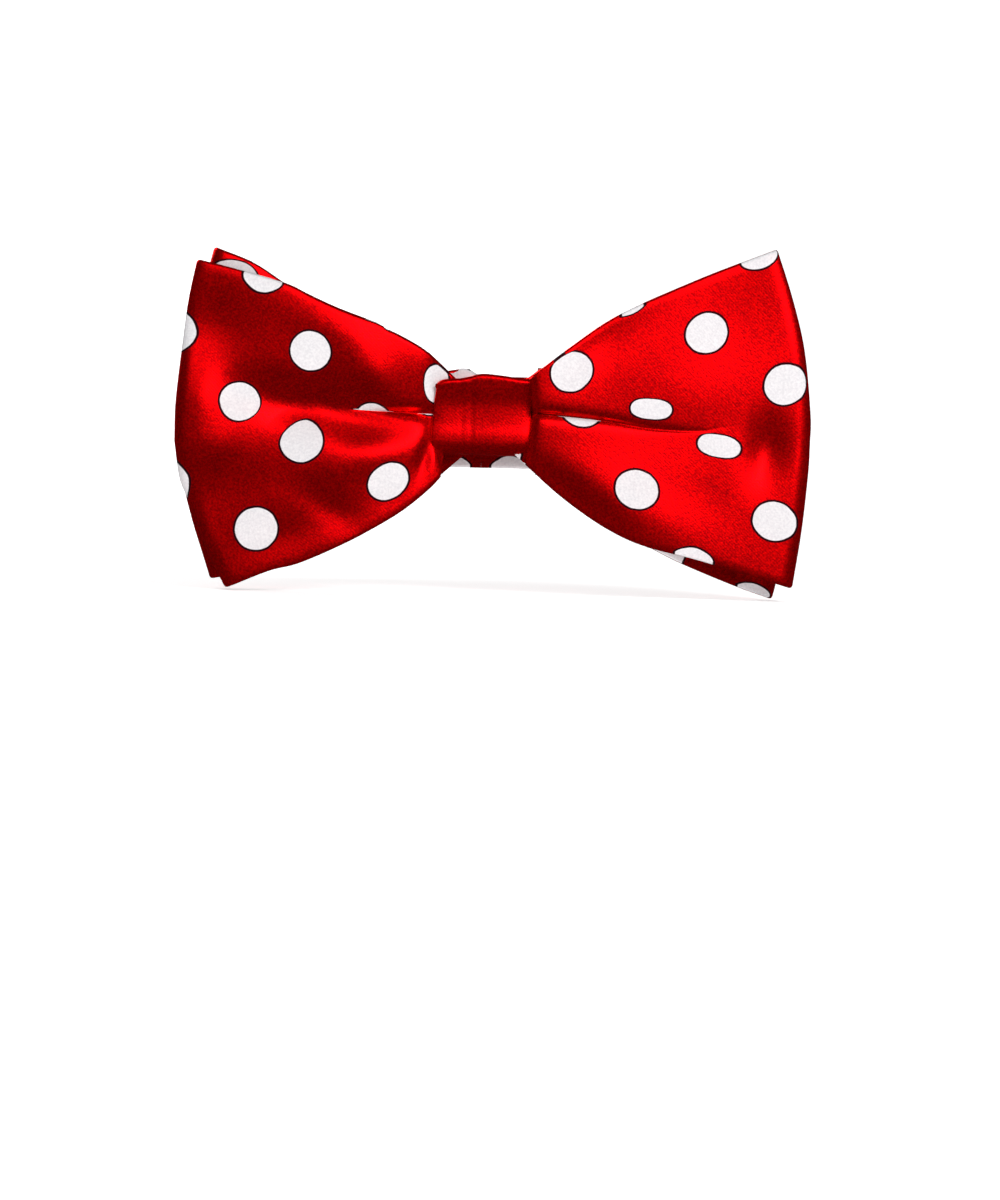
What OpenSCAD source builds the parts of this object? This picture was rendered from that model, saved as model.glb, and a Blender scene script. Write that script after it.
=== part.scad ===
// Pre-tied bow tie on an adjustable neckband.
// Front faces -Y, +X is to the right as seen from the front, +Z is up.
// It stands on the cut tips of its wings. The neckband is stowed in four flat runs behind the bow.

/* [Bow] */
// Width of the bow from fold to fold
bow_w = 120; // [115:1:125]
// Height of each bow at its wing tips
bow_h = 63.4; // [62:0.2:65]
// Distance of each side fold's arc centre beyond the middle of the bow
fan_offset = 8; // [6:1:10]
// Height of a wing where it comes out of the knot
wing_root_h = 18.2; // [17:0.2:20]
// Depth of a wing loop at its side fold, front to back
wing_depth = 9; // [8.6:0.1:9.4]
// Turn of the front bow against the rear bow, in degrees
front_turn = 1.8; // [0:0.1:2.5]
// Thickness of satin, interlining and satin together
cloth_t = 1.2; // [1:0.1:1.4]
// Thickness of the interlining strip alone
interlining_t = 0.6; // [0.4:0.1:0.7]
// Height of the front bow's middle above the surface it stands on
front_z = 32; // [31.5:0.1:32.5]
// Height of the rear bow's middle above the surface it stands on
rear_z = 31.2; // [30.8:0.1:31.5]

/* [Knot] */
// Width of the knot wrap across the front
knot_w = 18; // [16:0.5:20]
// Height of the knot wrap
knot_h = 15; // [14.5:0.5:16]
// Distance of the knot's middle to the right of the bow's middle
knot_x = -1.9; // [-3:0.1:0]
// Height of the knot's middle above the surface it stands on
knot_z = 33.5; // [33:0.1:34]
// Thickness of the knot wrap's cloth
wrap_t = 0.8; // [0.6:0.1:0.9]

/* [Neckband] */
// Width of the neckband
band_w = 18; // [16:0.5:19]
// Thickness of the neckband
band_t = 1.2; // [1.1:0.1:1.3]
// Height of the neckband's middle above the surface the tie stands on
band_z = 32.6; // [32:0.1:33]
// Left end of the run behind the bow, where the first fold turns back
fold_a_x = -55; // [-56:0.5:-54]
// Right end of the second run, where the second fold turns back
fold_b_x = 43; // [42:0.5:43.4]
// Left end of the third run, where the third fold turns back
fold_c_x = -50; // [-51:0.5:-49]
// How far the slide adjuster moves along the fourth run
slide_travel = 36; // [20:1:40]

/* [Clasp] */
// Radius of the round wire bars of the clasp
bar_r = 0.5; // [0.4:0.05:0.55]
// Place of the hook's bar along the fourth run
hook_bar_x = 27; // [25:0.5:28]
// Place of the slide adjuster's middle bar along the fourth run
slide_x = 14; // [12:0.5:15]
// Place of the eye's bar on the short end of the neckband
eye_bar_x = 46; // [45.6:0.1:47]
// Distance between the eye's two bars
eye_reach = 8; // [7:0.5:9]

/* [Hidden] */
$fn = 48;

red = [0.78, 0.03, 0.05];
dark_red = [0.55, 0.02, 0.05];
lining_grey = [0.86, 0.85, 0.82];
thread_red = [0.62, 0.03, 0.06];
nickel = [0.78, 0.78, 0.8];

// Places along Y, before the whole tie is centred front to back.
front_bow_front = -14;
front_bow_back = front_bow_front + wing_depth;
rear_bow_back = 4;
rear_bow_front = -4.6;
base_y = 4.3;
run_2_y = 7.4;
run_3_y = 9.4;
run_4_y = 12.4;
layer_gap = 0.1;
waist_front = -7;
waist_layer = 2.3;
waist_step = waist_layer + layer_gap;

// Shared clearances and allowances.
lining_gap = 0.02;
hem = 1.6;
waist_room_t = interlining_t + 0.1;
waist_lining_t = interlining_t - 0.06;
far = 100;
band_bottom = band_z - band_w / 2;
wing_arc_r = bow_w / 2 + fan_offset;
fan_half_angle = 33;
wing_root_gap = 0.5;
seam_gap = 0.4;
waist_h = 11;
thread_t = 0.4;
turn_t = 0.7;
bar_gap = 0.05;
turn_r = bar_r + bar_gap + turn_t;
turn_overlap = 0.5;
return_t = 2 * turn_r - band_t - layer_gap;
stitch_r = 0.15;
rear_y = run_4_y + band_t + layer_gap + 2 * turn_r + 2 * stitch_r;
centre_y = (front_bow_front + rear_y) / 2;

// ---- helpers ----

// Places a shape drawn with its Y measured from the cloth, so that the tie is centred front to back.
module place() {
    translate([0, -centre_y, 0]) children();
}

// One wall of a wing loop as radius and depth: level up to root_r, then straight to the side fold.
module wall_section(root_r, fold_r, root_y, fold_y, half) {
    inner_r = 2;
    polygon([[inner_r, root_y - half], [root_r, root_y - half], [fold_r, fold_y - half],
        [fold_r, fold_y + half], [root_r, root_y + half], [inner_r, root_y + half]]);
}

// Section of one wing loop: a front wall, a round side fold and a back wall.
module loop_section(front, back, root_front, root_back, root_r, thick) {
    fold_r = (back - front - cloth_t) / 2;
    fold_x = wing_arc_r - cloth_t / 2 - fold_r;
    half = thick / 2;
    front_y = front + cloth_t / 2;
    back_y = back - cloth_t / 2;
    wall_section(root_r, fold_x, root_front, front_y, half);
    wall_section(root_r, fold_x, root_back, back_y, half);
    intersection() {
        translate([fold_x, (front_y + back_y) / 2]) difference() {
            circle(r = fold_r + half);
            circle(r = fold_r - half);
        }
        translate([fold_x, front - 1]) square([far, back - front + 2]);
    }
}

// Outline of the right wing seen from the front: it widens from the knot to the wing tips.
module wing_outline(root_x, inset) {
    tip_x = sqrt(pow(wing_arc_r, 2) - pow(bow_h / 2, 2)) - fan_offset;
    root_half = wing_root_h / 2 - inset;
    slope = (bow_h / 2 - inset - root_half) / (tip_x - root_x);
    end_half = root_half + slope * (far - root_x);
    polygon([[root_x, -root_half], [far, -end_half], [far, end_half], [root_x, root_half]]);
}

// One wing pointing to +X, as a fan turned round the arc centre and cut to the outline.
module wing(front, back, root_front, root_back, thick, root_x, inset) {
    intersection() {
        translate([-fan_offset, 0, 0]) rotate([-90, 0, 0]) rotate([0, 0, -fan_half_angle])
            rotate_extrude(angle = 2 * fan_half_angle, $fn = 180)
                loop_section(front, back, root_front, root_back, root_x + fan_offset, thick);
        rotate([90, 0, 0]) translate([0, 0, -far / 2]) linear_extrude(far) wing_outline(root_x, inset);
    }
}

// Both wings and the two gathered layers between them, whose middle is waist_up above the wings' middle.
module bow_loops(front, back, layer, thick, waist_thick, inset, waist_up) {
    root_front = waist_front + waist_layer / 2 + layer * waist_step;
    root_back = root_front + waist_step;
    reach = knot_w / 2 + wing_root_gap;
    wing(front, back, root_front, root_back, thick, knot_x + reach, inset);
    mirror([1, 0, 0]) wing(front, back, root_front, root_back, thick, reach - knot_x, inset);
    for (y = [root_front, root_back])
        translate([knot_x - reach - 0.5, y - waist_thick / 2, waist_up - waist_h / 2 + inset])
            cube([2 * reach + 1, waist_thick, waist_h - 2 * inset]);
}

// A bow's satin: the loops with room inside for the interlining, open where the strip's ends meet.
module bow_satin(front, back, layer, waist_up) {
    seam_y = waist_front + (layer + 1) * waist_step;
    difference() {
        bow_loops(front, back, layer, cloth_t, waist_layer, 0, waist_up);
        bow_loops(front, back, layer, interlining_t + lining_gap, waist_room_t, hem, waist_up);
        translate([knot_x - seam_gap / 2, seam_y - layer_gap / 2, -waist_h])
            cube([seam_gap, waist_step, 2 * waist_h]);
    }
}

// A bow's interlining strip, with the same opening where its ends meet.
module bow_lining(front, back, layer, waist_up) {
    seam_y = waist_front + (layer + 1) * waist_step;
    trim = hem + lining_gap;
    difference() {
        bow_loops(front, back, layer, interlining_t, waist_lining_t, trim, waist_up);
        translate([knot_x - seam_gap / 2, seam_y - layer_gap / 2, -waist_h])
            cube([seam_gap, waist_step, 2 * waist_h]);
    }
}

// Cuts off whatever would reach below the surface that the tie stands on.
module stand_on_floor() {
    difference() {
        children();
        translate([-far, -far, -far]) cube([2 * far, 2 * far, far]);
    }
}

// A flat run of neckband cloth from x0 to x1, hollow for its interlining and open at both ends.
module band_run(x0, x1, y) {
    room = interlining_t + 2 * lining_gap;
    difference() {
        translate([x0, y, band_bottom]) cube([x1 - x0, band_t, band_w]);
        translate([x0 - 1, y + (band_t - room) / 2, band_bottom + hem - lining_gap])
            cube([x1 - x0 + 2, room, band_w - 2 * hem + 2 * lining_gap]);
    }
}

// The interlining strip inside a run of neckband.
module band_lining(x0, x1, y) {
    translate([x0 + hem, y + (band_t - interlining_t) / 2, band_bottom + hem])
        cube([x1 - x0 - 2 * hem, interlining_t, band_w - 2 * hem]);
}

// A half ring of cloth between two runs, open towards +X when side is 1 and -X when it is -1.
module band_turn(x, y_low, y_high, thick, side) {
    outer = (y_high - y_low) / 2;
    translate([x, (y_low + y_high) / 2, band_bottom]) difference() {
        cylinder(r = outer, h = band_w);
        translate([0, 0, -1]) cylinder(r = outer - thick, h = band_w + 2);
        translate([side > 0 ? 0 : -far, -far / 2, -1]) cube([far, far, band_w + 2]);
    }
}

// A closed turn of cloth round a bar along Z.
module bar_turn(x, y) {
    translate([x, y, band_bottom]) difference() {
        cylinder(r = turn_r, h = band_w);
        translate([0, 0, -1]) cylinder(r = turn_r - turn_t, h = band_w + 2);
    }
}

// The room that a turn of cloth takes out of the layers beside it.
module bar_room(x, y) {
    translate([x, y, band_bottom - 1]) cylinder(r = turn_r, h = band_w + 2);
}

// A round bar along Z, centred on the neckband's height.
module cross_bar(x, y, length) {
    translate([x, y, band_z - length / 2]) cylinder(r = bar_r, h = length, $fn = 24);
}

// A row of short stitches on the face of a run: count stitches along Z at x, standing out from y.
module stitch_row(x, y, count, length) {
    pitch = (band_w - 4) / count;
    for (i = [0 : count - 1])
        translate([x, y, band_bottom + 2 + (i + 0.5) * pitch])
            rotate([0, 90, 0]) cylinder(r = stitch_r, h = length, center = true, $fn = 16);
}

// ---- the bow ----

module front_bow() {
    color(red) place() stand_on_floor() translate([0, 0, front_z]) rotate([0, -front_turn, 0])
        bow_satin(front_bow_front, front_bow_back, 0, knot_z - front_z);
}

module front_bow_interlining() {
    color(lining_grey) place() translate([0, 0, front_z]) rotate([0, -front_turn, 0])
        bow_lining(front_bow_front, front_bow_back, 0, knot_z - front_z);
}

module rear_bow() {
    color(dark_red) place() stand_on_floor() translate([0, 0, rear_z])
        bow_satin(rear_bow_front, rear_bow_back, 2, knot_z - rear_z);
}

module rear_bow_interlining() {
    color(lining_grey) place() translate([0, 0, rear_z])
        bow_lining(rear_bow_front, rear_bow_back, 2, knot_z - rear_z);
}

// ---- the knot ----

knot_front = waist_front - 1.9;
knot_back = base_y - 0.1;
thread_pad = 0.7;

// A flat-sided ring round the waist, from outside size to wall thickness.
module waist_ring(width, height, front, back, wall) {
    translate([knot_x - width / 2, front, knot_z - height / 2]) difference() {
        cube([width, back - front, height]);
        translate([-1, wall, wall]) cube([width + 2, back - front - 2 * wall, height - 2 * wall]);
    }
}

module waist_thread() {
    turns = 5;
    pitch = 1.1;
    inner_h = waist_h + thread_pad;
    color(thread_red) place()
        for (i = [0 : turns - 1])
            translate([(i - (turns - 1) / 2) * pitch, 0, 0])
                waist_ring(thread_t, inner_h + 2 * thread_t, waist_front - 0.1 - thread_t,
                    waist_front + 4 * waist_step + thread_t, thread_t);
}

module knot_wrap() {
    color(red) place() waist_ring(knot_w, knot_h, knot_front, knot_back, wrap_t);
}

module knot_interlining() {
    lining_t = 0.3;
    inset = wrap_t + lining_gap;
    color(lining_grey) place() waist_ring(knot_w - 2 * hem, knot_h - 2 * inset,
        knot_front + inset, knot_back - inset, lining_t);
}

// Stitches that hold the neckband to the back of the knot.
module knot_tacks() {
    color(thread_red) place()
        for (x = [knot_x - knot_w / 2 + 3, knot_x + knot_w / 2 - 3])
            stitch_row(x, base_y + band_t + stitch_r, 5, 2.2);
}

// ---- the neckband ----

base_end_x = eye_bar_x - turn_overlap;
tab_start_x = eye_bar_x - 12;
eye_centre_y = base_y + turn_r;

module band_base() {
    color(red) place() difference() {
        band_run(fold_a_x, base_end_x, base_y);
        bar_room(eye_bar_x, eye_centre_y);
    }
}

module band_base_interlining() {
    color(lining_grey) place() band_lining(fold_a_x, base_end_x, base_y);
}

module band_fold_a() {
    color(red) place() band_turn(fold_a_x, base_y, run_2_y + band_t, band_t, 1);
}

module band_run_2() {
    color(red) place() band_run(fold_a_x, fold_b_x, run_2_y);
}

module band_run_2_interlining() {
    color(lining_grey) place() band_lining(fold_a_x, fold_b_x, run_2_y);
}

module band_fold_b() {
    color(red) place() band_turn(fold_b_x, run_2_y, run_3_y + band_t, band_t, -1);
}

module band_run_3() {
    color(red) place() band_run(fold_c_x, fold_b_x, run_3_y);
}

module band_run_3_interlining() {
    color(lining_grey) place() band_lining(fold_c_x, fold_b_x, run_3_y);
}

module band_fold_c() {
    color(red) place() band_turn(fold_c_x, run_3_y, run_4_y + band_t, band_t, 1);
}

// The fourth run keeps its place up to the furthest point that the hook is drawn in to.
run_4_end_x = hook_bar_x - slide_travel / 2 - turn_r - 0.3;

module band_run_4() {
    color(red) place() band_run(fold_c_x, run_4_end_x, run_4_y);
}

module band_run_4_interlining() {
    color(lining_grey) place() band_lining(fold_c_x, run_4_end_x, run_4_y);
}

// ---- the adjuster and the hook ----

turn_centre_y = run_4_y + turn_r;
tail_centre_y = run_4_y + band_t + layer_gap + turn_r;
inner_bar_y = run_4_y - 0.2 - bar_r;
slide_half = 5.5;
rail_t = 0.9;
rail_gap = 0.35;
slide_bar_h = band_w + 2 * rail_gap + 2 * rail_t;

// The changing stretch: the end of the fourth run, and its return from the hook to the slide adjuster.
module adjusting_strap() {
    return_x = slide_x + turn_r;
    end_x = hook_bar_x - turn_overlap;
    color(red) place() difference() {
        union() {
            translate([run_4_end_x, run_4_y, band_bottom]) cube([end_x - run_4_end_x, band_t, band_w]);
            translate([return_x, run_4_y + band_t + layer_gap, band_bottom])
                cube([end_x - return_x, return_t, band_w]);
        }
        bar_room(hook_bar_x, turn_centre_y);
    }
}

// The cloth turn that holds the hook's bar.
module hook_turn() {
    color(red) place() bar_turn(hook_bar_x, turn_centre_y);
}

// Side arms from the bar to the cross plate, then a tongue that bends back on itself.
module hook() {
    arm_h = 1.1;
    arm_l = 4.6;
    plate_l = 2.4;
    plate_t = 0.8;
    tongue_w = 8;
    tongue_l = 3;
    bend_r = 1.5;
    lip_l = 4;
    frame_h = band_w + 2 * rail_gap + 2 * arm_h;
    plate_x = hook_bar_x + arm_l;
    tongue_x = plate_x + plate_l - 0.1;
    bend_x = tongue_x + tongue_l;
    y0 = turn_centre_y - plate_t / 2;
    color(nickel) place() {
        cross_bar(hook_bar_x, turn_centre_y, frame_h - 0.4);
        for (z = [band_z - frame_h / 2, band_z + frame_h / 2 - arm_h]) {
            translate([hook_bar_x, y0, z]) cube([arm_l + 0.1, plate_t, arm_h]);
            translate([hook_bar_x, turn_centre_y, z]) cylinder(r = 0.9, h = arm_h, $fn = 32);
        }
        translate([plate_x, y0, band_z - frame_h / 2]) cube([plate_l, plate_t, frame_h]);
        translate([tongue_x, y0, band_z - tongue_w / 2]) cube([tongue_l + 0.1, plate_t, tongue_w]);
        translate([bend_x, y0 + bend_r, band_z - tongue_w / 2]) difference() {
            cylinder(r = bend_r, h = tongue_w);
            translate([0, 0, -1]) cylinder(r = bend_r - plate_t, h = tongue_w + 2);
            translate([-far, -far / 2, -1]) cube([far, far, tongue_w + 2]);
        }
        translate([bend_x - lip_l, y0 + 2 * bend_r - plate_t, band_z - tongue_w / 2])
            cube([lip_l + 0.1, plate_t, tongue_w]);
    }
}

// Three bars between two side rails: the outer bars lie inside the run, the middle bar outside it.
module slide_adjuster() {
    color(nickel) place() {
        for (x = [slide_x - slide_half + bar_r, slide_x + slide_half - bar_r])
            cross_bar(x, inner_bar_y, slide_bar_h - 0.4);
        cross_bar(slide_x, tail_centre_y, slide_bar_h - 0.4);
        for (z = [band_z - slide_bar_h / 2, band_z + slide_bar_h / 2 - rail_t])
            translate([slide_x, 0, z]) linear_extrude(rail_t)
                polygon([[-slide_half, inner_bar_y - bar_r], [slide_half, inner_bar_y - bar_r],
                    [slide_half, inner_bar_y + bar_r], [bar_r + 0.4, tail_centre_y + bar_r + 0.3],
                    [-bar_r - 0.4, tail_centre_y + bar_r + 0.3], [-slide_half, inner_bar_y + bar_r]]);
    }
}

// The end of the neckband, sewn round the slide adjuster's middle bar.
module tail_loop() {
    flap_l = 5;
    color(red) place() {
        bar_turn(slide_x, tail_centre_y);
        translate([slide_x, tail_centre_y + turn_r - turn_t, band_bottom]) difference() {
            cube([flap_l, turn_t, band_w]);
            translate([0, turn_t - turn_r, -1]) cylinder(r = turn_r - turn_t, h = band_w + 2);
        }
    }
}

module tail_stitches() {
    color(thread_red) place() stitch_row(slide_x + 3.2, tail_centre_y + turn_r + stitch_r, 7, 2);
}

// ---- the short end and the eye ----

// The short end turned round the eye's bar and laid back on itself.
module eye_tab() {
    color(red) place() {
        bar_turn(eye_bar_x, eye_centre_y);
        difference() {
            translate([tab_start_x, base_y + band_t + layer_gap, band_bottom])
                cube([base_end_x - tab_start_x, return_t, band_w]);
            translate([eye_bar_x, eye_centre_y, band_bottom - 1])
                cylinder(r = turn_r - turn_t, h = band_w + 2);
        }
    }
}

module eye_tab_stitches() {
    color(thread_red) place()
        for (x = [tab_start_x + 1.5, tab_start_x + 7.5])
            stitch_row(x, base_y + 2 * turn_r + stitch_r, 7, 2);
}

// A closed rectangular loop of round wire.
module eye() {
    eye_h = band_w + 2 * rail_gap + 2 * bar_r;
    color(nickel) place() {
        for (x = [eye_bar_x, eye_bar_x + eye_reach]) {
            cross_bar(x, eye_centre_y, eye_h);
            for (z = [band_z - eye_h / 2, band_z + eye_h / 2])
                translate([x, eye_centre_y, z]) sphere(r = bar_r, $fn = 24);
        }
        for (z = [band_z - eye_h / 2, band_z + eye_h / 2])
            translate([eye_bar_x, eye_centre_y, z]) rotate([0, 90, 0])
                cylinder(r = bar_r, h = eye_reach, $fn = 24);
    }
}

front_bow();
front_bow_interlining();
rear_bow();
rear_bow_interlining();
waist_thread();
knot_wrap();
knot_interlining();
knot_tacks();
band_base();
band_base_interlining();
band_fold_a();
band_run_2();
band_run_2_interlining();
band_fold_b();
band_run_3();
band_run_3_interlining();
band_fold_c();
band_run_4();
band_run_4_interlining();
adjusting_strap();
hook_turn();
hook();
slide_adjuster();
tail_loop();
tail_stitches();
eye_tab();
eye_tab_stitches();
eye();
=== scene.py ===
"""A ready-tied polka dot bow tie: cloth, knot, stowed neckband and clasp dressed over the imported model."""
import math

import bpy
import numpy as np
from mathutils import Matrix, Vector


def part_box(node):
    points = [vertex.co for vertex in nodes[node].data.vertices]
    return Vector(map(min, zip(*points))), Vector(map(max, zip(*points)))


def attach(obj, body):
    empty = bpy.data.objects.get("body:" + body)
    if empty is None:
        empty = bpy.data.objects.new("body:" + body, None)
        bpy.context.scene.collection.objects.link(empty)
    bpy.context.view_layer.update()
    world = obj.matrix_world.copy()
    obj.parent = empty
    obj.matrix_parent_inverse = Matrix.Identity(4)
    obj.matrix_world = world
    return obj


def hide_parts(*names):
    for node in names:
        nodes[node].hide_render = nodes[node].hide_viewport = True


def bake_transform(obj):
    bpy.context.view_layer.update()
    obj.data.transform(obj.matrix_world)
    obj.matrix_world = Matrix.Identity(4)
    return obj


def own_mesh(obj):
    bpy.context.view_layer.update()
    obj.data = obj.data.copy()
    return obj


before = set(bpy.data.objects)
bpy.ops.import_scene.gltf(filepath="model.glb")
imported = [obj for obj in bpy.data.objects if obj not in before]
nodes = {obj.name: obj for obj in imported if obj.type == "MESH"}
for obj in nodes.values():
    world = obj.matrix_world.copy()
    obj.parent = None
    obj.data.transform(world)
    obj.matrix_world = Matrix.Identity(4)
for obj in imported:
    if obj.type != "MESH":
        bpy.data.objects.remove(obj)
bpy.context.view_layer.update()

MM = 0.001

# ---- driving values, in millimetres unless a name says otherwise ----

dot_pitch = 18.6
dot_radius = 4.0
dot_outline = 0.45
cloth_t = 1.1
band_t = 1.1
lining_t = 0.35
camera_distance = 0.9
eye_z = 32.0
print_turn = 45.0
wall_rows = 22
wall_columns = 72
fold_columns = 14
back_columns = 24
row_gather = 1.5
crease_sharp = 0.7
crease_soft = 5.5
groove_depth = 1.0
groove_above = 0.5
groove_below = 0.08
wall_gap = 0.5
wall_ease = 0.6

# ---- small helpers ----


def smooth(x, low, high):
    """0 below low, 1 above high and a smooth step between them."""
    t = np.clip((np.asarray(x, float) - low) / (high - low), 0.0, 1.0)
    return t * t * (3 - 2 * t)


def curve(points, count):
    """Evenly spaced points on a smooth curve through the given ones."""
    p = np.array(points, float)
    if len(p) == 2:
        return p[0] + (p[1] - p[0]) * np.linspace(0, 1, count)[:, None]
    p = np.vstack([2 * p[0] - p[1], p, 2 * p[-1] - p[-2]])
    fine = []
    for a, b, c, d in zip(p, p[1:], p[2:], p[3:]):
        t = np.linspace(0, 1, 24, endpoint=False)[:, None]
        fine.append(b + 0.5 * t * (c - a + t * (2 * a - 5 * b + 4 * c - d + t * (3 * (b - c) + d - a))))
    fine = np.vstack(fine + [p[-2][None]])
    along = np.concatenate([[0], np.cumsum(np.linalg.norm(np.diff(fine, axis=0), axis=1))])
    at = np.linspace(0, along[-1], count)
    return np.stack([np.interp(at, along, fine[:, k]) for k in range(fine.shape[1])], axis=1)


def unit(v):
    return v / np.maximum(np.linalg.norm(v, axis=-1, keepdims=True), 1e-9)


def make_mesh(name, verts, faces, uvs=None, material=None):
    """A smooth-shaded object from vertices in millimetres, with one UV pair per face corner."""
    mesh = bpy.data.meshes.new(name)
    mesh.from_pydata([tuple(v) for v in np.asarray(verts, float) * MM], [], faces)
    if uvs is not None:
        layer = mesh.uv_layers.new(name="cloth")
        layer.data.foreach_set("uv", np.asarray(uvs, np.float32).ravel())
    mesh.polygons.foreach_set("use_smooth", [True] * len(mesh.polygons))
    mesh.update()
    obj = bpy.data.objects.new(name, mesh)
    bpy.context.scene.collection.objects.link(obj)
    if material:
        mesh.materials.append(material)
    return obj


def grid_normals(grid, closed):
    """Unit normals of a grid of points, columns by rows."""
    if closed:
        along = np.roll(grid, -1, axis=0) - np.roll(grid, 1, axis=0)
    else:
        along = np.gradient(grid, axis=0)
    across = np.gradient(grid, axis=1)
    return unit(np.cross(along, across))


def shell(name, grid, uv, thick, material, closed=False, flip=False):
    """A closed cloth of the given thickness behind a grid of outer points, with round edges.

    grid is columns x rows x 3 in millimetres. uv has one more column than a closed grid.
    thick is one thickness, or one for each column.
    """
    normal = grid_normals(grid, closed) * (-1 if flip else 1)
    grid = grid.copy()
    thick = np.broadcast_to(thick, len(grid))[:, None]
    half = thick / 2
    edge_low = unit(grid[:, 0] - grid[:, 1])
    edge_high = unit(grid[:, -1] - grid[:, -2])
    grid[:, 0] -= edge_low * half * 0.9
    grid[:, -1] -= edge_high * half * 0.9
    inner = grid - normal * thick[:, None]

    def rim(outer_row, inner_row, outward):
        middle = (outer_row + inner_row) / 2
        arm = (outer_row - inner_row) / 2
        return [middle + arm * math.cos(a) + outward * half * math.sin(a)
                for a in (math.pi * k / 4 for k in (1, 2, 3))]

    rows = grid.shape[1]
    ring = [grid[:, k] for k in range(rows)]
    ring += rim(grid[:, -1], inner[:, -1], edge_high)
    ring += [inner[:, k] for k in range(rows - 1, -1, -1)]
    ring += rim(inner[:, 0], grid[:, 0], edge_low)
    ring = np.stack(ring, axis=1)
    row_of = list(range(rows)) + [rows - 1] * 3 + list(range(rows - 1, -1, -1)) + [0] * 3
    columns, around = ring.shape[:2]
    faces, corners = [], []
    for c in range(columns if closed else columns - 1):
        d = (c + 1) % columns
        for k in range(around):
            m = (k + 1) % around
            quad = [c * around + k, d * around + k, d * around + m, c * around + m]
            coords = [uv[c, row_of[k]], uv[c + 1, row_of[k]], uv[c + 1, row_of[m]], uv[c, row_of[m]]]
            faces.append(quad[::-1] if flip else quad)
            corners += coords[::-1] if flip else coords
    if not closed:
        for c, turn in ((0, 1), (columns - 1, -1)):
            cap = [c * around + k for k in range(around)][::turn]
            faces.append(cap[::-1] if flip else cap)
            coords = [uv[c, row_of[k]] for k in range(around)][::turn]
            corners += coords[::-1] if flip else coords
    return make_mesh(name, ring.reshape(-1, 3), faces, corners, material)


# ---- the printed cloth: where each dot lands on a wing ----


class Print:
    """Maps places on the front of a wing to the dot lattice, from a few dots' own places.

    nips are places where the cloth is drawn in and its print narrows: (x, z, angle, share, reach).
    """

    def __init__(self, dots, nips=(), reach=9.0):
        self.nips = nips
        self.cells = np.array(list(dots.keys()), float)
        self.places = np.array(list(dots.values()), float)
        ones = np.ones((len(self.places), 1))
        self.fit = np.linalg.lstsq(np.hstack([self.places, ones]), self.cells, rcond=None)[0]
        self.reach = reach
        self.left_over = self.cells - np.hstack([self.places, ones]) @ self.fit

    def __call__(self, points):
        flat = points.reshape(-1, 2)
        for x, z, angle, share, reach in self.nips:
            across = np.array([-math.sin(math.radians(angle)), math.cos(math.radians(angle))])
            away = flat - (x, z)
            near = np.exp(-(np.linalg.norm(away, axis=1) / reach) ** 2)
            flat = flat + (share * near * (away @ across))[:, None] * across
        uv = np.hstack([flat, np.ones((len(flat), 1))]) @ self.fit
        gap = np.linalg.norm(flat[:, None] - self.places[None], axis=2) / self.reach
        pull = np.exp(-gap ** 2)
        uv += (pull / np.maximum(pull.sum(axis=1, keepdims=True), 1.0)) @ self.left_over
        return uv.reshape(points.shape)


# ---- the bow ----


def hollow(points, x, z, angle, length, width, depth):
    """A long soft dent in the cloth, or a ridge where depth is negative."""
    a = math.radians(angle)
    dx, dz = points[..., 0] - x, points[..., 1] - z
    along = dx * math.cos(a) + dz * math.sin(a)
    across = -dx * math.sin(a) + dz * math.cos(a)
    return depth * np.exp(-(along / length) ** 2 - (across / width) ** 2)


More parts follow.
